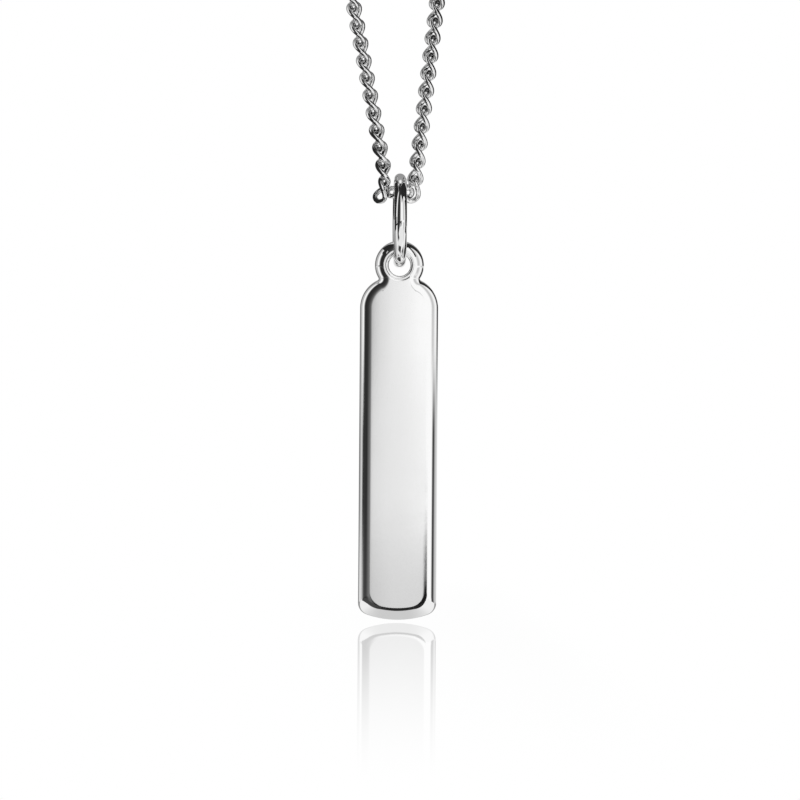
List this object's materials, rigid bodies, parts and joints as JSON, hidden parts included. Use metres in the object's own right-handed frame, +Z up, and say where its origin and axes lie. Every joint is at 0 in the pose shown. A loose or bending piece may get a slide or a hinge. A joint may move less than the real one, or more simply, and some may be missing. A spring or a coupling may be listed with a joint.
{
  "type": "bar pendant on a chain",
  "caption": "Plain polished bar pendant with full round edges and a round ear, hung by a jump ring from a closed curb chain with a plain barrel clasp.",
  "frame": {"origin": "inside of the chain loop's top, where the necklace hangs", "axes": "+Z up, the loop lies in the XZ plane, -Y is the front that the bar's flat face shows to"},
  "size_m": [0.0575, 0.0074, 0.2408],
  "materials": {
    "bar": "mirror polished silver",
    "jump_ring": "polished silver wire",
    "chain": "polished silver wire",
    "clasp": "polished silver"
  },
  "bodies": {
    "chain": {"chain_front": "chain", "chain_back": "chain", "clasp": "clasp"},
    "ring": {"jump_ring": "jump_ring"},
    "bar": {"bar": "bar"}
  },
  "joints": [
    {"name": "ring_swing", "type": "hinge", "parent": "chain", "child": "ring", "pos_m": [0.0052, 0, -0.2064], "axis": [1, 0, 0], "range_deg": [-30, 30]},
    {"name": "bar_swing", "type": "hinge", "parent": "ring", "child": "bar", "pos_m": [0.0052, 0, -0.21095], "axis": [0, 1, 0], "range_deg": [-60, 60]}
  ]
}
